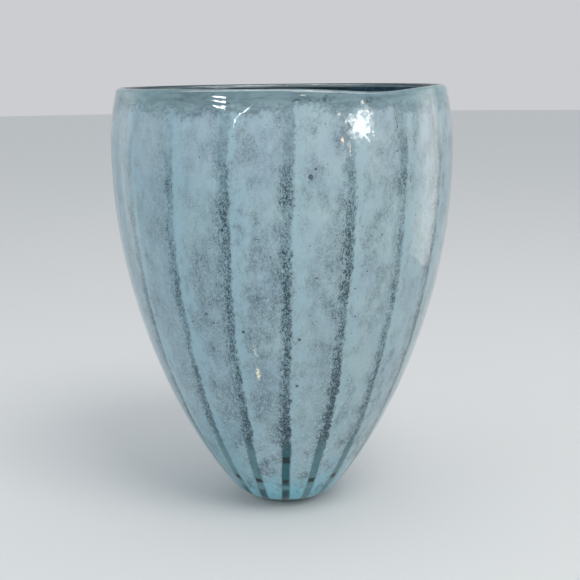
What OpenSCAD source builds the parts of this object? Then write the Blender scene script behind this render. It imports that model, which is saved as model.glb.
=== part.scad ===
// Blown glass vase, in cased glass: a thick tinted inner glass with the cavity,
// a thin layer of blue powder colour laid on it in panels, clear stripes that
// part the panels, and a clear casing over all of it.
// Z points up, and the origin is the centre of the flat foot.

/* [Outline] */
// Height from the foot to the top of the lip
vase_h = 230; // [214:1:270]
// Diameter at the widest place
belly_d = 184.2; // [150:0.2:220]
// Height of the widest place above the foot
belly_z = 196.5; // [160:0.5:208]
// Diameter over the lip
mouth_d = 176.8; // [140:0.2:184]
// Diameter that the side would reach at the foot if the foot were not rounded
toe_d = 42.8; // [34:0.2:60]
// Diameter of the flat ring that the vase stands on
foot_d = 26; // [18:0.5:32]
// Height over which the side rounds into the foot
foot_round_h = 9.7; // [6:0.1:16]
// Share of the side's curve that turns in sharply near the foot
toe_share = 0.104; // [0.04:0.002:0.2]

/* [Glass] */
// Thickness of the whole wall, which is also the thickness of the lip
wall_t = 4.2; // [3.6:0.1:6]
// Thickness of the clear casing over the colour
casing_t = 1.8; // [1.2:0.05:2.4]
// Thickness of the powder colour
colour_t = 0.6; // [0.3:0.05:0.9]
// Thickness of glass between the foot and the bottom of the cavity
base_t = 20; // [13:0.5:30]
// Height over which the cavity rounds into its bottom
bowl_h = 14; // [8:0.5:24]

/* [Colour] */
// Height of the clear band between the colour and the top of the lip
clear_rim_h = 5; // [4:0.5:30]
// Height of the lower edge of the colour, measured on the outside
clear_foot_h = 4.5; // [3:0.1:9]
// Height over which the colour thins out towards its edges
feather_h = 5; // [2:0.5:12]
// Number of stripes round the vase
stripe_count = 18; // [8:1:24]
// Turn of the first stripe from the front
first_stripe_deg = 1.2; // [-11:0.1:11]
// Width of a stripe at the widest place
stripe_belly_w = 6.8; // [3:0.1:12]
// Width of a stripe at the foot
stripe_foot_w = 3.4; // [1.5:0.1:5]

/* [Pontil mark] */
// Diameter of the polished hollow where the pontil rod was broken off
pontil_d = 14; // [8:0.5:16]
// Depth of the polished hollow
pontil_depth = 0.8; // [0.3:0.05:1]

/* [Hidden] */
// Gap left at each fused face, so that neighbouring solids never overlap
seam_gap = 0.04;
// Extra reach of a cutting shape past what it cuts
overrun = 1;
// Half of the step over which the slope of the outline is read
probe_h = 0.01;
// Powers of the gentle and of the sharp part of the side's curve
side_power = 2;
toe_power = 8;
// Share of its thickness that the colour keeps at its very edge
edge_share = 0.25;
// How the heights crowd towards the foot, where the outline bends most
crowd_power = 1.5;
// Steps along each stretch of the outline
foot_steps = 6;
side_steps = 36;
rim_steps = 3;
lip_steps = 6;
bowl_steps = 10;
cavity_steps = 22;
round_fn = 180;

belly_r = belly_d / 2;
mouth_r = mouth_d / 2;
toe_r = toe_d / 2;
foot_r = foot_d / 2;
lip_r = wall_t / 2;
lip_z = vase_h - lip_r;
seam_depth = casing_t + colour_t / 2;
colour_z0 = clear_foot_h;
colour_z1 = vase_h - clear_rim_h;
stripe_pitch = 360 / stripe_count;
front_deg = -90;
// Reach of the cutting shapes from the axis, past the widest part of the glass
slab_reach = max(belly_r, mouth_r) + overrun;
bay_reach = slab_reach / cos(stripe_pitch / 2);
pontil_ball_r = (pow(pontil_d / 2, 2) + pow(pontil_depth, 2)) / (2 * pontil_depth);

casing_tone = [0.80, 0.90, 0.92, 0.35];
inner_tone = [0.50, 0.66, 0.70, 0.55];
powder_tone = [0.60, 0.73, 0.78];
stripe_tone = [0.20, 0.27, 0.31];

function two_digits(n) = n < 10 ? str("0", n) : str(n);
panel_names = [for (i = [1:stripe_count]) str("blue_panel_", two_digits(i))];
stripe_names = [for (i = [1:stripe_count]) str("clear_stripe_", two_digits(i))];

// Radius of the side without its rounded foot: a parabola that hangs from the
// widest place, with a sharper curve added near the foot
function side_r(z) =
    let (u = 1 - z / belly_z)
    belly_r - (belly_r - toe_r) * ((1 - toe_share) * pow(u, side_power) + toe_share * pow(u, toe_power));

// Quarter of an ellipse that rounds the side into the flat foot
function foot_blend(z) =
    let (s = max(0, min(1, z / foot_round_h)))
    sqrt(1 - pow(1 - s, 2));

// Radius above the widest place, where the wall draws in towards the lip
function shoulder_r(z) =
    belly_r - (belly_r - mouth_r) * pow((z - belly_z) / (lip_z - belly_z), 2);

// Radius of the outside at any height
function outer_r(z) =
    z < belly_z ? foot_r + (side_r(z) - foot_r) * foot_blend(z) : shoulder_r(z);

// Lean of the wall from upright, in degrees
function lean(z) = atan((outer_r(z + probe_h) - outer_r(z - probe_h)) / (2 * probe_h));

// Point at a depth under the outside, square to the wall
function under(z, depth) = [outer_r(z) - depth * cos(lean(z)), z + depth * sin(lean(z))];

// Half of the thickness of the colour, which thins out towards both edges
function half_colour(z) =
    let (edge = min(z - colour_z0, colour_z1 - z) / feather_h)
    colour_t / 2 * min(1, edge_share + (1 - edge_share) * edge);

// Height at which the outside runs into the half round lip
rim_z = lip_z - lip_r * sin(lean(lip_z));
foot_heights = [for (i = [0:foot_steps - 1]) colour_z0 * pow(i / foot_steps, 2)];
side_heights = [
    for (i = [0:side_steps])
        colour_z0 + (colour_z1 - colour_z0) * pow(i / side_steps, crowd_power)
];
rim_heights = [for (i = [1:rim_steps]) colour_z1 + (rim_z - colour_z1) * i / rim_steps];

// Line at one depth where there is no colour
function plain_line(heights, depth) = [for (z = heights) under(z, depth)];

// Line beside the colour, on its outer side (-1) or its inner side (1)
function colour_line(side, gap) =
    [for (z = side_heights) under(z, seam_depth + side * (half_colour(z) + gap))];

// Whole seam between the inner glass and the casing, from the foot to the lip
function seam_line(side) = concat(
    plain_line(concat(foot_heights, [colour_z0 - seam_gap]), seam_depth + side * seam_gap),
    colour_line(side, seam_gap),
    plain_line(concat([colour_z1 + seam_gap], rim_heights), seam_depth + side * seam_gap)
);

function backwards(line) = [for (i = [len(line) - 1:-1:0]) line[i]];

// Point on the half round lip: 0 is its outer side and 180 its inner side
function lip_point(turn) =
    let (a = turn - lean(rim_z))
    under(rim_z, lip_r) + lip_r * [cos(a), sin(a)];
function lip_arc(from, to) = [for (i = [1:lip_steps]) lip_point(from + (to - from) * i / lip_steps)];
casing_lip_deg = acos((lip_r - seam_depth + seam_gap) / lip_r);
inner_lip_deg = acos((lip_r - seam_depth - seam_gap) / lip_r);

// Radius of the cavity: the wall's thickness inside the outside, closed by an
// ellipse at the bottom
function cavity_r(z) =
    let (s = min(1, (z - base_t) / bowl_h))
    (outer_r(z) - wall_t / cos(lean(z))) * sqrt(1 - pow(1 - s, 2));
bowl_top_z = base_t + bowl_h;
cavity_top_z = lip_point(180)[1];
bowl_line = [for (i = [0:bowl_steps]) let (z = base_t + bowl_h * pow(i / bowl_steps, 2)) [cavity_r(z), z]];
cavity_side_line = [
    for (i = [1:cavity_steps - 1])
        let (z = bowl_top_z + (cavity_top_z - bowl_top_z) * i / cavity_steps)
        [cavity_r(z), z]
];

// Tinted glass of the first gather, blown out into the cavity
module inner_glass() {
    seam = seam_line(1);
    color(inner_tone)
        rotate_extrude($fn = round_fn)
            polygon(concat(
                [[0, seam[0][1]]],
                seam,
                lip_arc(inner_lip_deg, 180),
                backwards(concat(bowl_line, cavity_side_line))
            ));
}

// Thin layer that the colour and the stripes share, all round the vase
module colour_layer() {
    rotate_extrude($fn = round_fn)
        polygon(concat(colour_line(1, 0), backwards(colour_line(-1, 0))));
}

// Width of a stripe at any height
function stripe_w(z) = stripe_foot_w + (stripe_belly_w - stripe_foot_w) * z / belly_z;

// Tapered slab that stands on the axis and cuts out stripe number i
module stripe_slab(i, gap) {
    rotate(front_deg + first_stripe_deg + i * stripe_pitch)
        rotate([90, 0, 90])
            linear_extrude(slab_reach)
                polygon([
                    [-stripe_w(0) / 2 - gap, 0],
                    [stripe_w(0) / 2 + gap, 0],
                    [stripe_w(vase_h) / 2 + gap, vase_h],
                    [-stripe_w(vase_h) / 2 - gap, vase_h]
                ]);
}

// Wedge from the middle of stripe number i to the middle of the next one
module bay(i) {
    rotate(front_deg + first_stripe_deg + i * stripe_pitch)
        linear_extrude(vase_h)
            polygon([[0, 0], [bay_reach, 0], bay_reach * [cos(stripe_pitch), sin(stripe_pitch)]]);
}

// Panel of powder colour between stripe number i and the next one
module blue_panel(i) {
    color(powder_tone)
        difference() {
            intersection() {
                colour_layer();
                bay(i);
            }
            stripe_slab(i, seam_gap);
            stripe_slab(i + 1, seam_gap);
        }
}

// Stripe of glass with hardly any powder in it
module clear_stripe(i) {
    color(stripe_tone)
        intersection() {
            colour_layer();
            stripe_slab(i, 0);
        }
}

// Clear casing with the foot, its pontil mark and the outer half of the lip
module outer_casing() {
    seam = seam_line(-1);
    outside = plain_line(concat(foot_heights, side_heights, rim_heights), 0);
    color(casing_tone)
        difference() {
            rotate_extrude($fn = round_fn)
                polygon(concat(
                    [[0, 0]],
                    outside,
                    lip_arc(0, casing_lip_deg),
                    backwards(seam),
                    [[0, seam[0][1]]]
                ));
            translate([0, 0, pontil_depth - pontil_ball_r])
                sphere(r = pontil_ball_r, $fn = round_fn);
        }
}

inner_glass();
for (i = [0:stripe_count - 1]) {
    blue_panel(i);
    clear_stripe(i);
}
outer_casing();
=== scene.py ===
import math
import bpy
import numpy as np
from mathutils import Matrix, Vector


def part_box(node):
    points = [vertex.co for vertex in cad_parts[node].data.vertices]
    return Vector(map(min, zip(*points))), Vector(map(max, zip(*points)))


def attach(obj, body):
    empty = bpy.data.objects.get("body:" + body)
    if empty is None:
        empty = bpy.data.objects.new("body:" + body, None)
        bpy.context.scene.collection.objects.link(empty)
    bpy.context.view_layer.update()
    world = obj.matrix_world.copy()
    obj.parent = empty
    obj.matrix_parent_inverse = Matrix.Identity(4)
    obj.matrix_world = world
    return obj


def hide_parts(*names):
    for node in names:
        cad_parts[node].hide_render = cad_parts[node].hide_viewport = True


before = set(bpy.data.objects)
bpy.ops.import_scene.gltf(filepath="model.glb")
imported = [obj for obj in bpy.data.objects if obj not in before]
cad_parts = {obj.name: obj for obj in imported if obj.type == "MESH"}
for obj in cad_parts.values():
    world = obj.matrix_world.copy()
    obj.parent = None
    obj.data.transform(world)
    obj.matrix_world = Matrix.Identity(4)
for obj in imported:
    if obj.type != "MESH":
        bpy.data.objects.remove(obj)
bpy.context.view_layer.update()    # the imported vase: every piece rides on its one body

# Inner glass
# The first gather of grey-teal glass, blown out into the cavity and left thick under it.
# The powder colour is rolled onto its outside while it is hot, so its outside is a fused
# seam that bends no light, and only its cavity and its half of the lip meet the air.

MM = 0.001
front_deg = -90
vase_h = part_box("outer_casing")[1][2]
belly_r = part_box("outer_casing")[1][0]
belly_z = 196.5 * MM
mouth_r = 88.4 * MM
toe_r = 21.4 * MM                    # what the side would reach at the foot, were it not rounded
toe_share = 0.104                    # the share of the side's curve that turns in near the foot
side_power, toe_power = 2, 8
foot_r = 13.0 * MM
foot_round_h = 9.7 * MM
wall_t = 4.2 * MM
casing_t = 1.8 * MM
colour_t = 0.6 * MM
base_t = 20.0 * MM
bowl_h = 14.0 * MM
lip_r = wall_t / 2
lip_z = vase_h - lip_r
seam_depth = casing_t + colour_t / 2
seam_gap = 0.04 * MM
probe_h = 0.01 * MM                  # half of the step over which a slope is read
sag_deg = 33
sag_width_deg = 18
sag_depth = 2.2 * MM
level_z = 190 * MM
side_crowding, end_crowding = 1.5, 2
turns = 360
lip_steps = 12
bowl_steps, cavity_steps = 40, 110
foot_seam_steps, inner_seam_steps = 12, 60
sharp_deg = 50


def outside_radius(z):
    """Below the widest place a parabola hung from it, plus a sharper curve near the foot and
    a quarter ellipse that rounds into it; above, a parabola that draws in to the lip."""
    u = 1 - np.minimum(z, belly_z) / belly_z
    drawn_in = (1 - toe_share) * u**side_power + toe_share * u**toe_power
    side = belly_r - (belly_r - toe_r) * drawn_in
    rounding = np.sqrt(1 - (1 - np.clip(z / foot_round_h, 0, 1)) ** 2)
    shoulder = belly_r - (belly_r - mouth_r) * ((z - belly_z) / (lip_z - belly_z)) ** 2
    return np.where(z < belly_z, foot_r + (side - foot_r) * rounding, shoulder)


def lean(z):
    """Angle of the wall from upright: the arc tangent of the outline's slope."""
    return np.arctan((outside_radius(z + probe_h) - outside_radius(z - probe_h)) / (2 * probe_h))


def under(z, depth):
    """Radius and height of points at a depth under the outside, square to the wall."""
    a = lean(z)
    return np.stack([outside_radius(z) - depth * np.cos(a), z + depth * np.sin(a)], -1)


def sag(angle, z):
    """How far the top of the wall sinks, as the photograph's lip does in front on the right: a
    bell curve round the vase, times the square of the height above the part that stays level."""
    around = (np.degrees(angle) - front_deg - sag_deg + 180) % 360 - 180
    above = np.clip((z - level_z) / (vase_h - level_z), 0, 1)
    return sag_depth * np.exp(-((around / sag_width_deg) ** 2)) * above**2


rim_z = lip_z - lip_r * np.sin(lean(np.float64(lip_z)))    # where the outside meets the lip


def lip_arc(first_deg, last_deg, steps):
    """Part of the half round lip, as points on a circle round the middle of the wall: 0
    degrees is its outer side and 180 its inner side."""
    a = np.radians(np.linspace(first_deg, last_deg, steps + 1)[1:]) - lean(rim_z)
    return under(rim_z, lip_r) + lip_r * np.stack([np.cos(a), np.sin(a)], -1)


def crowded(low, high, steps, power):
    """Heights from low to high that crowd towards low, as a power of an even share."""
    return low + (high - low) * np.linspace(0, 1, steps + 1) ** power


def cavity_line():
    """Radius and height of the cavity from its bottom to the lip: the outside less the wall,
    closed at the bottom by a quarter ellipse."""
    bowl_z = base_t + bowl_h
    top = lip_arc(0, 180, 1)[-1][1]
    bowl = crowded(base_t, bowl_z, bowl_steps, end_crowding)
    z = np.concatenate([bowl, np.linspace(bowl_z, top, cavity_steps)[1:-1]])
    closing = np.sqrt(1 - (1 - np.clip((z - base_t) / bowl_h, 0, 1)) ** 2)
    return np.stack([(outside_radius(z) - wall_t / np.cos(lean(z))) * closing, z], -1)


def seam_line(side, steps):
    """The seam from the foot to the lip, seen from the casing (-1) or the inner glass (1): the
    outside less the seam's depth, half of the colour and the gap."""
    foot = crowded(0, foot_round_h, foot_seam_steps, end_crowding)
    z = np.concatenate([foot, np.linspace(foot_round_h, rim_z, steps)[1:]])
    return under(z, seam_depth + side * (colour_t / 2 + seam_gap))


def put_mesh(name, corners, faces, slots=None):
    """A closed mesh from arrays of corners and of faces, with a slot for each face. It is
    smooth but for its sharp edges."""
    mesh = bpy.data.meshes.new(name)
    mesh.from_pydata(corners.tolist(), [], faces)
    mesh.polygons.foreach_set("use_smooth", np.ones(len(faces), bool))
    if slots is not None:
        mesh.polygons.foreach_set("material_index", slots.astype(np.int32))
    mesh.update()
    mesh.set_sharp_from_angle(angle=math.radians(sharp_deg))
    piece = bpy.data.objects.new(name, mesh)
    bpy.context.scene.collection.objects.link(piece)
    return piece


def faces_of(*corners):
    """Faces from one array of numbers for each of their corners."""
    return np.stack(corners, -1).reshape(-1, len(corners))


def turned_solid(line, waves=None, waved=0):
    """Corners and faces of a solid of revolution. line is radius and height from the axis at
    the bottom, round the outside and back to the axis; every point but those two goes round
    the axis as a ring, the rings are joined by quads, and each end closes with a fan. The
    first rings, as many as waved says, dip by what waves gives."""
    angle = np.arange(turns) * 2 * np.pi / turns
    r, z = line[1:-1, 0][:, None], line[1:-1, 1][:, None]
    if waves:
        r = r - waves(angle[None], z) * (np.arange(len(r)) < waved)[:, None]
    rings = np.stack([r * np.cos(angle), r * np.sin(angle), z - sag(angle[None], z)], -1)
    rings = rings.reshape(-1, 3)
    ends = np.array([[0, 0, line[0, 1]], [0, 0, line[-1, 1]]])
    ring = np.arange(len(line) - 3)[:, None] * turns
    here, there = np.arange(turns)[None], (np.arange(turns)[None] + 1) % turns
    quads = faces_of(ring + here, ring + there, ring + turns + there, ring + turns + here)
    last, start, end = (len(line) - 3) * turns, len(rings), len(rings) + 1
    low_fan = faces_of(start + 0 * here[0], there[0], here[0])
    high_fan = faces_of(end + 0 * here[0], last + here[0], last + there[0])
    faces = low_fan.tolist() + quads.tolist() + high_fan.tolist()
    return np.concatenate([rings, ends]), faces


def slots_by_row(rows):
    """The slot of each face of a turned solid, from a slot for each stretch of its line."""
    ends = np.full(turns, rows[0]), np.full(turns, rows[-1])
    return np.concatenate([ends[0], np.repeat(rows[1:-1], turns), ends[1]])


class Level:
    """A number or colour that a node gives, with the sums that the recipes use."""

    def __init__(self, recipe, socket):
        self.recipe, self.socket = recipe, socket

    def sum_with(self, operation, first, second):
        return self.recipe.add("ShaderNodeMath", {0: first, 1: second}, operation=operation)

    def __add__(self, other):
        return self.sum_with("ADD", self, other)

    __radd__ = __add__

    def __sub__(self, other):
        return self.sum_with("SUBTRACT", self, other)

    def __rsub__(self, other):
        return self.sum_with("SUBTRACT", other, self)

    def __mul__(self, other):
        return self.sum_with("MULTIPLY", self, other)

    __rmul__ = __mul__

    def size(self):
        return self.sum_with("ABSOLUTE", self, 0)

    def larger(self, other):
        return self.sum_with("MAXIMUM", self, other)

    def smaller(self, other):
        return self.sum_with("MINIMUM", self, other)


class Recipe:
    """The nodes of one material, lamp or sky, which are added one by one."""

    def __init__(self, name, blocks=bpy.data.materials, *kind):
        self.block = blocks.new(name, *kind)
        self.block.use_nodes = True
        self.tree = self.block.node_tree
        self.tree.nodes.clear()

    def add(self, kind, inputs, output=0, **settings):
        """Adds a node of a kind: its settings first, then its sockets, which take numbers,
        colours or what other nodes give. Returns one of its outputs."""
        node = self.tree.nodes.new(kind)
        for key, value in settings.items():
            setattr(node, key, value)
        for key, value in inputs.items():
            if isinstance(value, Level):
                self.tree.links.new(value.socket, node.inputs[key])
            else:
                node.inputs[key].default_value = value
        return Level(self, node.outputs[output]) if node.outputs else node

    def part(self, vector, axis):
        """One of the three numbers of a vector."""
        return self.add("ShaderNodeSeparateXYZ", {0: vector}, axis)

    def fade(self, value, low, high):
        """0 below low and 1 above high, with a soft step between."""
        ranges = {"Value": value, "From Min": low, "From Max": high}
        return self.add("ShaderNodeMapRange", ranges, interpolation_type="SMOOTHSTEP")

    def blend(self, share, first, second):
        """A colour that goes from first to second as share goes from 0 to 1."""
        return self.add("ShaderNodeMix", {0: share, 6: first, 7: second}, 2, data_type="RGBA")

    def noise(self, place, scale, detail, roughness, seed=0.0, twist=0.0):
        """Cloudy noise of a scale in grains a metre, from 0 to 1. A twist draws it into hairs."""
        inputs = {"Vector": place, "W": seed, "Scale": scale, "Detail": detail}
        inputs.update({"Roughness": roughness, "Distortion": twist})
        return self.add("ShaderNodeTexNoise", inputs, "Fac", noise_dimensions="4D")

    def finish(self, shader, kind="ShaderNodeOutputMaterial"):
        self.add(kind, {"Surface": shader})
        return self.block

    def dull(self, tone, alpha=1.0):
        """Finishes a face under the glass, which shows its tone and has no gloss of its own."""
        inputs = {"Base Color": tone, "Roughness": 0.7, "Specular IOR Level": 0.0, "Alpha": alpha}
        return self.finish(self.add("ShaderNodeBsdfPrincipled", inputs))


clear = (1, 1, 1, 1)
glass_ior = 1.5
glass_roughness = 0.02
ripple_scale = 110
ripple_depth = 0.3 * MM
inner_ripple = 0.1
rippled_z = vase_h - 7.0 * MM
smooth_z = vase_h - 3.0 * MM
inner_tint = (0.74, 0.84, 0.86, 1)
deep_tint = (0.40, 0.58, 0.61, 1)
deep_z = 6.0 * MM
# Above this height the inner glass's seam is painted dark: painted shade of the inside under the
# lip
dark_z = vase_h - 6.0 * MM
seam_painted_shade = (0.012, 0.030, 0.037, 1)
seam_grain_and_shade = (0.060, 0.130, 0.185, 1)


def air_glass(name, ripple):
    """Glass that meets the air, rippled up to the fire polished lip. Sight bends through it,
    and lamp light and the light from the colour inside go straight through."""
    recipe = Recipe(name)
    place = recipe.add("ShaderNodeTexCoord", {}, "Object")
    calm = 1 - recipe.fade(recipe.part(place, "Z"), rippled_z, smooth_z)
    ripples = (recipe.noise(place, ripple_scale, 3, 0.6) - 0.5) * calm
    bump = {"Height": ripples, "Strength": ripple, "Distance": ripple_depth}
    bent = recipe.add("ShaderNodeBump", bump)
    inputs = {"Base Color": clear, "Roughness": glass_roughness, "IOR": glass_ior}
    inputs.update({"Transmission Weight": 1.0, "Normal": bent})
    glass = recipe.add("ShaderNodeBsdfPrincipled", inputs)
    straight = recipe.add("ShaderNodeBsdfTransparent", {"Color": clear})
    lamp = recipe.add("ShaderNodeLightPath", {}, "Is Shadow Ray")
    glow = recipe.add("ShaderNodeLightPath", {}, "Is Diffuse Ray")
    both = {0: lamp.larger(glow), 1: glass, 2: straight}
    return recipe.finish(recipe.add("ShaderNodeMixShader", both))


def fused_seam(name, tint):
    """The face where two glasses are melted together: it only tints what passes."""
    recipe = Recipe(name)
    return recipe.finish(recipe.add("ShaderNodeBsdfTransparent", {"Color": tint}))


def painted_shade_seam(name):
    """The seam above the powder as the mouth shows it from inside, in painted shade: dark, with
    grains of powder left and right that are painted shaded too."""
    recipe = Recipe(name)
    place = recipe.add("ShaderNodeTexCoord", {}, "Object")
    grains = recipe.fade(recipe.noise(place, 500, 3, 0.6, 3.0, 0.8), 0.40, 0.62)
    to_sides = recipe.fade(recipe.part(place, "X").size(), 15 * MM, 60 * MM)
    return recipe.dull(recipe.blend(to_sides * (grains * 0.8 + 0.2), seam_painted_shade, seam_grain_and_shade))


air_slot, seam_slot, painted_shade_slot, deep_slot = range(4)
seam = seam_line(1, inner_seam_steps)
inner_line = np.concatenate([
    [[0, seam[0, 1]]], seam, lip_arc(90, 180, lip_steps), cavity_line()[::-1]
])
corners, faces = turned_solid(inner_line)
# The seam's rows above dark_z take the painted shade
seam_rows = np.where(seam[:, 1] < dark_z, seam_slot, painted_shade_slot)
seam_rows = np.where(seam[:, 1] < deep_z, deep_slot, seam_rows)
air_rows = np.full(len(inner_line) - 1 - len(seam), air_slot)
rows = np.concatenate([seam_rows, air_rows])
inner_glass = put_mesh("inner_glass_blown", corners, faces, slots_by_row(rows))
inner_glass.data.materials.append(air_glass("tinted glass", inner_ripple))
inner_glass.data.materials.append(fused_seam("seam of the tinted glass", inner_tint))
inner_glass.data.materials.append(painted_shade_seam("seam under the lip in painted shade"))
inner_glass.data.materials.append(fused_seam("seam under the thick glass", deep_tint))
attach(inner_glass, "root")
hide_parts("inner_glass")

# Blue powder panels
# Crushed pale blue glass that the hot gather is rolled in, melted on as a layer of grains.
# An optic mould has parted it into upright panels: clean and pale along their left side,
# mottled with dark grains over the rest, and ragged along the top.

stripe_count = 18
first_stripe_deg = 1.2
first_stripe = math.radians(front_deg + first_stripe_deg)
pitch = 2 * math.pi / stripe_count
colour_z0 = 4.5 * MM
colour_z1 = vase_h - 5.0 * MM
feather_h = 5.0 * MM
edge_share = 0.25
stripe_belly_w = 6.8 * MM
stripe_foot_w = 3.4 * MM
strip_rows, panel_columns = 150, 48


def half_colour(share):
    """Half of the colour's thickness, which thins out evenly over the feathered part at both
    ends of its height."""
    height = colour_z0 + (colour_z1 - colour_z0) * share
    edge = np.minimum(height - colour_z0, colour_z1 - height) / feather_h
    return colour_t / 2 * np.minimum(1, edge_share + (1 - edge_share) * edge)


def half_stripe(z):
    """Half of a stripe's width, which grows evenly from the foot to the widest place."""
    return (stripe_foot_w + (stripe_belly_w - stripe_foot_w) * z / belly_z) / 2


def border_waver(z, number):
    """How far a stripe strays to the side: two slow waves with a phase of its own, a drift
    towards the front above, and a wider one away from it below, where the foot spread. Each
    drift goes with the sine of the stripe's turn and the square of the height or depth."""
    turn = number % stripe_count * pitch
    waves = 0.3 * MM * np.sin(z * 70 + 6.9 * turn) + 0.2 * MM * np.sin(z * 190 + 14.5 * turn)
    above = (1.2 * MM - 3.0 * MM * math.sin(turn)) * (z / vase_h) ** 2
    below = (5.5 * MM * math.sin(turn) - 1.4 * MM) * (1 - z / vase_h) ** 2
    return waves + above + below


def stripe_side(number, side):
    """The angle of one side (-1 or 1) of a stripe at any height: that of its middle, plus half
    of its width and what it strays, over the radius there."""
    def angle(z):
        r = outside_radius(z) - seam_depth
        aside = side * half_stripe(z) + border_waver(z, number)
        return first_stripe + number * pitch + aside / r
    return angle


def ragged_top(angle):
    """How far the powder's top edge falls short, in waves that close round the vase."""
    slow = np.sin(angle * 9 + 0.7) + 0.6 * np.sin(angle * 23 + 2.0)
    quick = 0.5 * np.sin(angle * 67 + 1.0) + 0.4 * np.sin(angle * 131 + 4.0)
    return MM * (0.5 + 0.15 * slow + 0.15 * quick)


def layer_grid(first_border, last_border, columns):
    """Corners on the two skins of one strip of the colour layer, as two grids of rows by
    columns, and their distances from its two borders. A border gives the angle of the strip's
    side at any height."""
    share = crowded(0, 1, strip_rows, side_crowding)[:, None]
    across = np.linspace(0, 1, columns + 1)[None]
    middle = (first_border(vase_h / 2) + last_border(vase_h / 2)) / 2
    top = colour_z1 - ragged_top(middle + (across - 0.5) * pitch)
    z = colour_z0 + (top - colour_z0) * share
    width = last_border(z) - first_border(z)
    angle = first_border(z) + width * across
    grids = []
    for side in (-1, 1):
        line = under(z, seam_depth + side * half_colour(share))
        r, height = line[..., 0], line[..., 1] - sag(angle, line[..., 1])
        grids.append(np.stack([r * np.cos(angle), r * np.sin(angle), height], -1))
    away = np.stack([across * width, (1 - across) * width], -1)
    return grids, away * outside_radius(z)[..., None]


def strip_solid(name, grids, away):
    """Closed strip between two skins. Each skin is a grid of quads, and the four sides join
    them. Its UV map gives the distance from the border on either side, in metres."""
    rows, columns = grids[0].shape[:2]
    size = rows * columns
    index = np.arange(size).reshape(rows, columns)
    outer = faces_of(index[:-1, :-1], index[:-1, 1:], index[1:, 1:], index[1:, :-1])
    inner = outer[:, ::-1] + size
    edge = np.concatenate([index[0, :], index[1:, -1], index[-1, -2::-1], index[-2:0:-1, 0]])
    after = np.roll(edge, -1)
    rim = faces_of(after, edge, edge + size, after + size)
    corners = np.concatenate([grid.reshape(-1, 3) for grid in grids])
    faces = np.concatenate([outer, inner, rim])
    piece = put_mesh(name, corners, faces.tolist())
    borders = piece.data.uv_layers.new(name="Borders")
    both = np.concatenate([away.reshape(-1, 2)] * 2)
    borders.data.foreach_set("uv", both[faces.ravel()].astype(np.float32).ravel())
    return piece


powder_grey = (0.345, 0.455, 0.525, 1)
powder_pale = (0.400, 0.515, 0.555, 1)
powder_left = (0.325, 0.480, 0.580, 1)
clean_right = (0.375, 0.515, 0.575, 1)
clean_left = (0.335, 0.510, 0.600, 1)
dark_grain_and_shade = (0.018, 0.050, 0.068, 1)
dark_seed = (0.025, 0.055, 0.075, 1)
white_fleck = (0.50, 0.61, 0.66, 1)
teal_powder = (0.190, 0.600, 0.720, 1)
teal_grain = (0.020, 0.170, 0.230, 1)
teal_left_shade = (0.100, 0.300, 0.360, 1)
# The windows' tones are painted shade of the dark inside seen through them, lighter at the sides
# and darkest in the front middle
window_side = (0.150, 0.310, 0.360, 1)
window_front = (0.012, 0.145, 0.178, 1)
window_patch = (0.010, 0.100, 0.125, 1)
window_low = (0.008, 0.080, 0.105, 1)
painted_band_light = (0.200, 0.360, 0.410, 1)
painted_bar_shade = (0.0, 0.008, 0.013, 1)
# Heights of the painted marks in the windows: a painted band of light, and painted dark bars
# where the cavity's floor and the end of its rounding would show through
lens_z = 15.8 * MM                   # the pale band that shows under the cavity
floor_z = 20.5 * MM                  # the dark bar where the cavity's floor shows
round_z = 35.8 * MM                  # the dark bar where its rounding ends
seeds = [                            # turn from the front, height and size
    (8.5, 188.8 * MM, 1.4 * MM), (10.0, 192.5 * MM, 0.8 * MM), (-28.2, 120.2 * MM, 0.9 * MM),
    (-25.8, 115.8 * MM, 0.8 * MM), (5.5, 107.8 * MM, 0.9 * MM), (5.0, 82.0 * MM, 1.0 * MM),
    (-14.8, 111.8 * MM, 0.9 * MM),
]


def on_colour(turn_deg, z):
    """The point on the colour layer's circle at a height, by its turn from the front."""
    turn = math.radians(turn_deg + front_deg)
    r = float(outside_radius(np.float64(z))) - seam_depth
    return r * math.cos(turn), r * math.sin(turn), z


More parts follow.
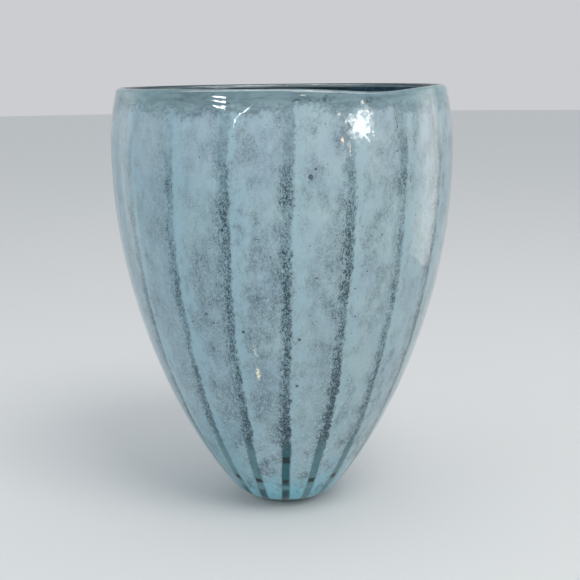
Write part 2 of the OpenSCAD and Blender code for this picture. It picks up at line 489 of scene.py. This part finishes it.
def colour_finish(name, join):
    """The look of the colour layer. It reads the distances from the stripes on the left and
    right, which are below zero inside a stripe, so that grains cross every border. In a stripe
    both must be near, and in a panel either."""
    recipe = Recipe(name)
    fade, blend, noise = recipe.fade, recipe.blend, recipe.noise
    place = recipe.add("ShaderNodeTexCoord", {}, "Object")
    grainy = recipe.add("ShaderNodeMapping", {"Vector": place, "Scale": (1, 1, 0.60)})
    borders = recipe.add("ShaderNodeUVMap", {}, uv_map="Borders")
    left, right = recipe.part(borders, "X"), recipe.part(borders, "Y")
    across, height = recipe.part(place, "X"), recipe.part(place, "Z")

    # Noise from coarse to fine, and the dark grains, which are a little longer than wide
    clouds = noise(grainy, 45, 3, 0.6, 1.0) - 0.5
    wander = noise(grainy, 130, 2, 0.6, 7.0) - 0.5
    patches = noise(grainy, 140, 3, 0.65, 4.0) - 0.5
    ragged = noise(grainy, 600, 2, 0.6, 9.0) - 0.5
    grains = fade(noise(grainy, 1250, 3, 0.75, 2.0, 1.2), 0.37, 0.66)

    # Parts of the vase: along its height, and from the left outline to the right one
    foot = 1 - fade(height, 36 * MM, 50 * MM)
    belt = fade(height, 80 * MM, 100 * MM) * (1 - fade(height, 135 * MM, 160 * MM))
    high = fade(height, 150 * MM, 210 * MM)
    top = fade(height, 195 * MM, 222 * MM)
    outer = 1 - fade(across, -50 * MM, -30 * MM)
    # 1 on the vase's left side, where the panels get painted shade, as the light comes from the
    # right
    left_painted_shade = 1 - fade(across, -50 * MM, 45 * MM)
    centred = 1 - fade(across.size(), 10 * MM, 28 * MM)
    low_right = fade(across, 10 * MM, 30 * MM) * (1 - fade(height, 30 * MM, 80 * MM))
    # Painted shade low on the stripes, reaching higher towards the right and weaker at the far
    # right
    low_painted_shade = 1 - fade(height - across.larger(-8 * MM) * 0.8, 55 * MM, 82 * MM)
    low_painted_shade = low_painted_shade * (1 - fade(across, 22 * MM, 34 * MM) * 0.8)

    # How densely the grains and the painted shade lie in a stripe, and where it ends: sharply on
    # the side where the next panel is clean, and softly on the other
    # A stripe's dark is partly its grains and partly painted shade of the inside: painted darker
    # in the front middle and low down, lighter towards the top, where light falls in at the
    # mouth, and fainter towards the outlines
    strength = 1.00 + centred * belt * 0.28 - high * 0.20 - top * 0.28 + low_painted_shade * 0.90
    strength = strength - outer * (0.10 + high * 0.22) - fade(across, 30 * MM, 50 * MM) * 0.16
    stripe_density = strength + clouds * 1.2 + patches * 1.7
    stray = (ragged * (4.6 * MM) + wander * (3.0 * MM)) * (1 - foot * 0.8)
    widened = fade(height, 60 * MM, 100 * MM) * (1.0 * MM)
    sharp_side = 1 - fade(left + stray + widened, -0.9 * MM, 0.9 * MM)
    soft_side = 1 - fade(right * (1 + foot * 2) + stray * 1.5, -2.0 * MM, 1.8 * MM)
    inside = join(sharp_side, soft_side)

    # How densely they lie in a panel: hardly at all on its left side
    frayed = wander * (20 * MM) + patches * (24 * MM) + ragged * (4 * MM)
    near_left = 1 - fade(left + frayed, 0.4 * MM, 7.6 * MM)
    near_right = 1 - fade(right, 0.0, 7.0 * MM)
    thin = near_left * (0.84 - high * 0.25)
    # The denser grains on the left side are painted shade
    panel_density = 0.13 + left_painted_shade * (0.26 - high * 0.14) + near_right * 0.16 + low_right * 0.14
    panel_density = (panel_density + clouds * 1.1 + patches * 2.1) * (1 - outer * 0.35)
    panel_density = 0.05 + (1 - thin) * (1 - foot * 0.60) * panel_density + foot * patches * 3.4
    density = recipe.add("ShaderNodeMix", {0: inside, 2: panel_density, 3: stripe_density}, 0)
    density = density.larger(0.03)
    smooth = inside * fade(height, 180 * MM, 205 * MM)
    shade = density * (0.22 + smooth * 0.22 + grains * (1.04 - inside * 0.04 - smooth * 0.50))

    # The powder's tones, darkened by the grains, and in the stripes by painted shade too
    hue = fade(noise(grainy, 70, 3, 0.6, 15.0), 0.35, 0.65)
    pale = blend(hue, powder_grey, powder_pale)
    # The bluer tones on the left side go with the same painted shade
    pale = blend(left_painted_shade * 0.4, pale, powder_left)
    pale = blend(near_left * 0.7, pale, blend(left_painted_shade, clean_right, clean_left))
    tone = blend(shade, pale, dark_grain_and_shade)

    # Specks, the larger seeds, and pale flecks, of which more lie near the foot
    speck = fade(noise(place, 620, 1, 0.5, 12.0), 0.725, 0.75)
    for turn_deg, z, size in seeds:
        seed = {0: place, 1: on_colour(turn_deg, z)}
        apart = recipe.add("ShaderNodeVectorMath", seed, "Value", operation="DISTANCE")
        speck = speck.larger(1 - fade(apart + ragged * (0.5 * MM), size * 0.75, size))
    tone = blend(speck * 0.88, tone, dark_seed)
    flecks = fade(noise(grainy, 750, 2, 0.6, 21.0, 1.0), 0.54, 0.64)
    flecks = flecks * (0.75 - fade(height, 40 * MM, 100 * MM) * 0.55) * (1 - inside * 0.65)
    tone = blend(flecks, tone, white_fleck)

    # Teal towards the foot, and deeper on the lower left, where the deeper teal is painted shade,
    # as the light comes from the right
    low = 1 - fade(height + clouds * (50 * MM) + patches * (40 * MM), 2 * MM, 36 * MM)
    low_left_shade = 1 - fade(height + patches * (40 * MM), 30 * MM, 75 * MM)
    low_left_shade = low_left_shade * (1 - fade(across, -34 * MM, -12 * MM))
    tone = blend(low * 0.65, tone, blend(shade, teal_powder, teal_grain))
    tone = blend(low_left_shade * 0.45, tone, teal_left_shade)

    # The stripes' clear windows near the foot, with the cavity's bottom behind them painted in:
    # their dark teal is painted shade of the inside, darkest in the front middle, in patches and
    # low down left of the middle, with painted dark bars of shade and a painted band of light
    window = inside * foot
    centre = 1 - fade(across.size(), 3 * MM, 8 * MM)
    floor_line = 1 - fade((height - floor_z + ragged * MM).size(), 1.1 * MM, 1.7 * MM)
    bowl_line = 1 - fade((height - round_z + ragged * MM).size(), 1.4 * MM, 3.0 * MM)
    painted_band_line = 1 - fade((height - lens_z + ragged * MM).size(), 1.0 * MM, 2.0 * MM)
    lines = floor_line.larger(bowl_line * centre)
    below = (1 - fade(height, 13 * MM, 14 * MM)) * (1 - fade(across, -2 * MM, 10 * MM))
    glass = blend(centre, window_side, window_front)
    glass = blend(patches * 1.6 + 0.2, glass, window_patch)
    glass = blend(below * 0.7, glass, window_low)
    glass = blend(painted_band_line * 0.8, glass, painted_band_light)
    glass = blend(lines, glass, painted_bar_shade)
    return recipe.dull(blend(window, tone, glass), 1 - window * 0.20 * (1 - lines))


powder = colour_finish("blue powder", Level.larger)
for number in range(stripe_count):
    borders = stripe_side(number, 1), stripe_side(number + 1, -1)
    grids, away = layer_grid(*borders, panel_columns)
    panel = strip_solid(f"blue_powder_{number + 1:02d}", grids, away)
    panel.data.materials.append(powder)
    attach(panel, "root")
    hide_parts(f"blue_panel_{number + 1:02d}")

# Clear stripes
# Between two panels the mould's ribs have left hardly any powder, so the glass there is clear:
# its dark is partly grains and partly painted shade of the dark inside seen through it, grainy
# higher up, and as clear windows near the foot.

stripe_columns = 14
stripe_glass = colour_finish("stripe glass", Level.smaller)
for number in range(stripe_count):
    borders = stripe_side(number, -1), stripe_side(number, 1)
    grids, away = layer_grid(*borders, stripe_columns)
    stripe = strip_solid(f"stripe_{number + 1:02d}", grids, -away[..., ::-1])
    stripe.data.materials.append(stripe_glass)
    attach(stripe, "root")
    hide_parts(f"clear_stripe_{number + 1:02d}")

# Outer casing
# A last gather of clear glass over all of it, fire polished outside, with the outer half
# of the lip, the flat ground foot and the polished hollow of the pontil mark.

pontil_r = 7.0 * MM
pontil_depth = 0.8 * MM
ball_r = (pontil_r**2 + pontil_depth**2) / (2 * pontil_depth)
wave_depth = 0.05 * MM
calm_foot_h = 40 * MM
calm_lip_h = 25 * MM
pontil_steps = 8
foot_steps, side_steps = 24, 150
outer_seam_steps = 40


def hand_waves(angle, z):
    """How far the blown surface dips: slow waves round and up the vase, none of them outward,
    which calm down evenly towards the foot and the lip."""
    waves = (
        1 + np.sin(2 * angle + 9 * z / vase_h + 0.4),
        0.6 + 0.6 * np.sin(5 * angle - 14 * z / vase_h + 1.9),
        0.3 + 0.3 * np.sin(11 * angle + 31 * z / vase_h + 3.1),
    )
    calm = np.clip((z - foot_round_h) / calm_foot_h, 0, 1)
    calm = calm * np.clip((vase_h - z) / calm_lip_h, 0, 1)
    return wave_depth * sum(waves) * calm


def pontil_line():
    """The hollow under the foot, as a cap of a ball, from its deepest point to its edge."""
    r = np.linspace(0, pontil_r, pontil_steps + 1)
    return np.stack([r, pontil_depth - ball_r + np.sqrt(ball_r**2 - r**2)], -1)


outer_ripple = 0.2
outer_tint = (0.97, 0.99, 0.99, 1)
dust_z = vase_h - 38.0 * MM
dust_dark = (0.175, 0.270, 0.315, 1)
dust_pale = (0.285, 0.405, 0.450, 1)
dust_wisp = (0.060, 0.130, 0.165, 1)
dust_edge = (0.085, 0.150, 0.180, 1)
painted_side_sheen = (0.330, 0.520, 0.570, 1)


def dusted_seam(name):
    """The seam under the lip as the casing shows it: a thin dust of powder that reaches up to the
    lip, in streaks and dark wisps that run round the vase, and thins out downward. Towards the
    left and right outlines it is lighter, a painted sheen."""
    recipe = Recipe(name)
    fade, blend, noise = recipe.fade, recipe.blend, recipe.noise
    place = recipe.add("ShaderNodeTexCoord", {}, "Object")
    across, height = recipe.part(place, "X"), recipe.part(place, "Z")
    lying = recipe.add("ShaderNodeMapping", {"Vector": place, "Scale": (1, 1, 4)})
    streaks = fade(noise(lying, 70, 3, 0.6, 3.0, 0.8), 0.36, 0.62)
    wisps = fade(noise(lying, 130, 2, 0.5, 8.0, 1.0), 0.58, 0.70)
    tone = blend(streaks, dust_dark, dust_pale)
    tone = blend(wisps * 0.45, tone, dust_wisp)
    tone = blend(fade(height, 220.5 * MM, 225.5 * MM) * 0.45, tone, dust_edge)
    # Lighter towards the left and right outlines: a painted sheen of the pale surroundings
    tone = blend(fade(across.size(), 45 * MM, 80 * MM) * 0.5, tone, painted_side_sheen)
    drift = (noise(place, 60, 3, 0.6, 5.0) - 0.5) * (24 * MM)
    drift = drift + (noise(place, 500, 2, 0.6, 9.0) - 0.5) * (12 * MM)
    cover = fade(height + drift, 216 * MM, 225 * MM) * (0.84 + streaks * 0.12)
    return recipe.dull(tone, cover)


air_slot, seam_slot, dust_slot = range(3)
foot_z = crowded(0, foot_round_h, foot_steps, end_crowding)
outside_z = np.concatenate([foot_z, np.linspace(foot_round_h, rim_z, side_steps)[1:]])
outside = np.concatenate([pontil_line(), under(outside_z, 0), lip_arc(0, 90, lip_steps)])
seam = seam_line(-1, outer_seam_steps)[::-1]
casing_line = np.concatenate([outside, seam, [[0, seam[-1, 1]]]])
corners, faces = turned_solid(casing_line, hand_waves, len(outside) - 1)
air_rows = np.full(len(outside) - 1, air_slot)
seam_rows = np.where(seam[:, 1] > dust_z, dust_slot, seam_slot)
rows = np.concatenate([air_rows, [dust_slot], seam_rows])
casing = put_mesh("clear_casing", corners, faces, slots_by_row(rows))
casing.data.materials.append(air_glass("clear glass", outer_ripple))
casing.data.materials.append(fused_seam("seam of the clear glass", outer_tint))
casing.data.materials.append(dusted_seam("dusted seam under the lip"))
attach(casing, "root")
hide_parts("outer_casing")

# Stage, lamps and camera
# A plain pale floor under plain soft light, small lamps that show in the gloss, and the
# camera a little above the lip, looking down along the vase as the photograph does.

floor_r = 6.0
floor_gap = 0.05 * MM
floor_corners = 96
floor_seen = (0.72, 0.73, 0.74, 1)
floor_glow = (0.72, 0.74, 0.75, 1)
sky_seen = (0.60, 0.61, 0.63, 1)
sky_glow = (0.66, 0.69, 0.71, 1)


def in_view(recipe):
    """1 for what the camera sees, straight or by way of gloss and glass, and 0 for the light
    that falls on things."""
    kinds = ["Is Camera Ray", "Is Glossy Ray", "Is Transmission Ray"]
    seen, glossy, through = [recipe.add("ShaderNodeLightPath", {}, kind) for kind in kinds]
    return seen.larger(glossy).larger(through)


angle = np.arange(floor_corners) * 2 * np.pi / floor_corners
disc = np.stack([floor_r * np.cos(angle), floor_r * np.sin(angle), 0 * angle - floor_gap], -1)
floor = put_mesh("floor", disc, [list(range(floor_corners))])
recipe = Recipe("pale floor")
floor_tone = recipe.blend(in_view(recipe), floor_glow, floor_seen)
plain = {"Base Color": floor_tone, "Roughness": 0.9, "Specular IOR Level": 0.2}
floor.data.materials.append(recipe.finish(recipe.add("ShaderNodeBsdfPrincipled", plain)))

recipe = Recipe("studio", bpy.data.worlds)
sky = recipe.blend(in_view(recipe), sky_glow, sky_seen)
backdrop = recipe.add("ShaderNodeBackground", {"Color": sky})
bpy.context.scene.world = recipe.finish(backdrop, "ShaderNodeOutputWorld")


def softbox(name, place, aim, width, height, power, tint=(1, 1, 1), edge=0.02, rough=0,
            turn_deg=0, lights=False, shows=True):
    """A soft rectangular lamp at a place, aimed at a point and turned in its own plane. It fades
    out over a share of its sides, with bites out of them if it is rough. It lights the vase, or
    shows in the gloss, or both, and the camera never sees it straight."""
    recipe = Recipe(name, bpy.data.lights, "AREA")
    parts = recipe.add("ShaderNodeNewGeometry", {}, "Parametric")
    across, along = recipe.part(parts, "X") - 0.5, recipe.part(parts, "Y") - 0.5
    bites = (recipe.noise(parts, 7, 3, 0.6) - 0.5) * rough
    sides = [recipe.fade(0.5 - way.size() + bites, 0, edge) for way in (across, along)]
    glow = {"Color": (1, 1, 1, 1), "Strength": sides[0] * sides[1]}
    lamp = recipe.finish(recipe.add("ShaderNodeEmission", glow), "ShaderNodeOutputLight")
    lamp.shape = "RECTANGLE"
    lamp.size, lamp.size_y, lamp.energy, lamp.color = width, height, power, tint
    holder = bpy.data.objects.new(name, lamp)
    holder.location = place
    holder.rotation_euler = (Vector(aim) - Vector(place)).to_track_quat("-Z", "Y").to_euler()
    holder.rotation_euler.rotate_axis("Z", math.radians(turn_deg))
    holder.visible_camera = False
    holder.visible_diffuse, holder.visible_glossy = lights, shows
    bpy.context.scene.collection.objects.link(holder)


under_lip = (0, 0, 0.22)
at_shoulder = (0, 0, 0.20)
pale_warm = (1, 0.97, 0.84)
softbox("window", (1.216, -0.960, 0.474), (0, 0, 0.21), 0.58, 0.40, 14, edge=0.45, rough=1.3)
softbox("low tube", (-0.985, -1.141, 0.692), under_lip, 0.32, 0.015, 0.7, edge=0.2)
softbox("middle tube", (-0.990, -1.117, 0.738), under_lip, 0.28, 0.015, 0.6, edge=0.2)
softbox("high tube", (-0.983, -1.098, 0.785), under_lip, 0.30, 0.015, 0.65, edge=0.2)
softbox("slanting tube", (-0.620, -1.385, 0.662), under_lip, 0.013, 0.33, 0.30,
        edge=0.2, turn_deg=-63)
softbox("hanging tube", (-0.768, -1.350, 0.535), under_lip, 0.013, 0.15, 0.14, (1, 0.97, 0.86),
        edge=0.3, turn_deg=-16)
bulbs = [(1.235, -0.830, 0.732), (1.292, -0.807, 0.615), (0.949, -1.199, 0.622)]
for number, place in enumerate(bulbs):
    softbox(f"bulb {number + 1}", place, under_lip, 0.09, 0.06, 0.30, (1, 0.84, 0.66), edge=0.4)
softbox("lying bulb", (0.371, -1.407, 0.843), under_lip, 0.17, 0.020, 0.35, (1, 0.95, 0.75),
        edge=0.3)
softbox("low bulb", (0.978, -1.244, 0.310), at_shoulder, 0.05, 0.15, 0.45, (1, 0.66, 0.40),
        edge=0.4)
softbox("thin bulb", (1.077, -1.162, 0.204), at_shoulder, 0.03, 0.20, 0.40, (1, 0.74, 0.50),
        edge=0.4)
softbox("left glint", (-0.25, 0.03, 1.39), under_lip, 0.12, 0.05, 0.5, pale_warm, edge=0.3)
softbox("right glint", (0.25, 0.03, 1.39), under_lip, 0.12, 0.05, 0.5, pale_warm, edge=0.3)
softbox("warm glint", (-0.0422, -0.123, 0.0126), (-0.0133, -0.0719, 0.089),
        0.009, 0.016, 0.0058, (1, 0.78, 0.38), edge=0.5, rough=0.8)
softbox("warm streak", (-0.0530, -0.148, 0.0126), (-0.0140, -0.0757, 0.101),
        0.007, 0.016, 0.0028, (1, 0.80, 0.48), edge=0.5, rough=0.8, turn_deg=20)
softbox("right panel", (0.44, 0.120, 0.17), (0, 0, 0.17), 0.31, 0.62, 0.95, (1, 0.92, 0.84),
        edge=0.35)
softbox("left panel", (-0.355, 0.160, 0.19), (0, 0, 0.18), 0.18, 0.56, 0.16, (1, 0.90, 0.80),
        edge=0.35)
softbox("ceiling", (0.5, -0.9, 1.5), (0, 0, 0.1), 0.8, 0.8, 13, (1, 0.96, 0.90), lights=True)
softbox("fill", (-1.3, -0.8, 0.6), (0, 0, 0.1), 0.8, 0.8, 1.4, (0.70, 0.94, 1),
        lights=True, shows=False)
softbox("sky panel", (0, -0.15, 1.4), (0, 0, 0.2), 3.0, 1.0, 52, edge=0.25)

camera_y = -0.66
camera_z = 0.2399
camera_pitch = 10.44
camera_pan = 0.42
camera_roll = 0.65
picture_px = 580
focal_px = 1210.3
sensor_w = 36.0

camera = bpy.data.cameras.new("camera")
camera.sensor_width = sensor_w
camera.lens = focal_px / picture_px * sensor_w
viewer = bpy.data.objects.new("camera", camera)
viewer.location = (0, camera_y, camera_z)
viewer.rotation_mode = "XYZ"
turned = (90 - camera_pitch, camera_roll, -camera_pan)
viewer.rotation_euler = [math.radians(degrees) for degrees in turned]
bpy.context.scene.collection.objects.link(viewer)
bpy.context.scene.camera = viewer
bpy.context.scene.view_settings.view_transform = "Standard"
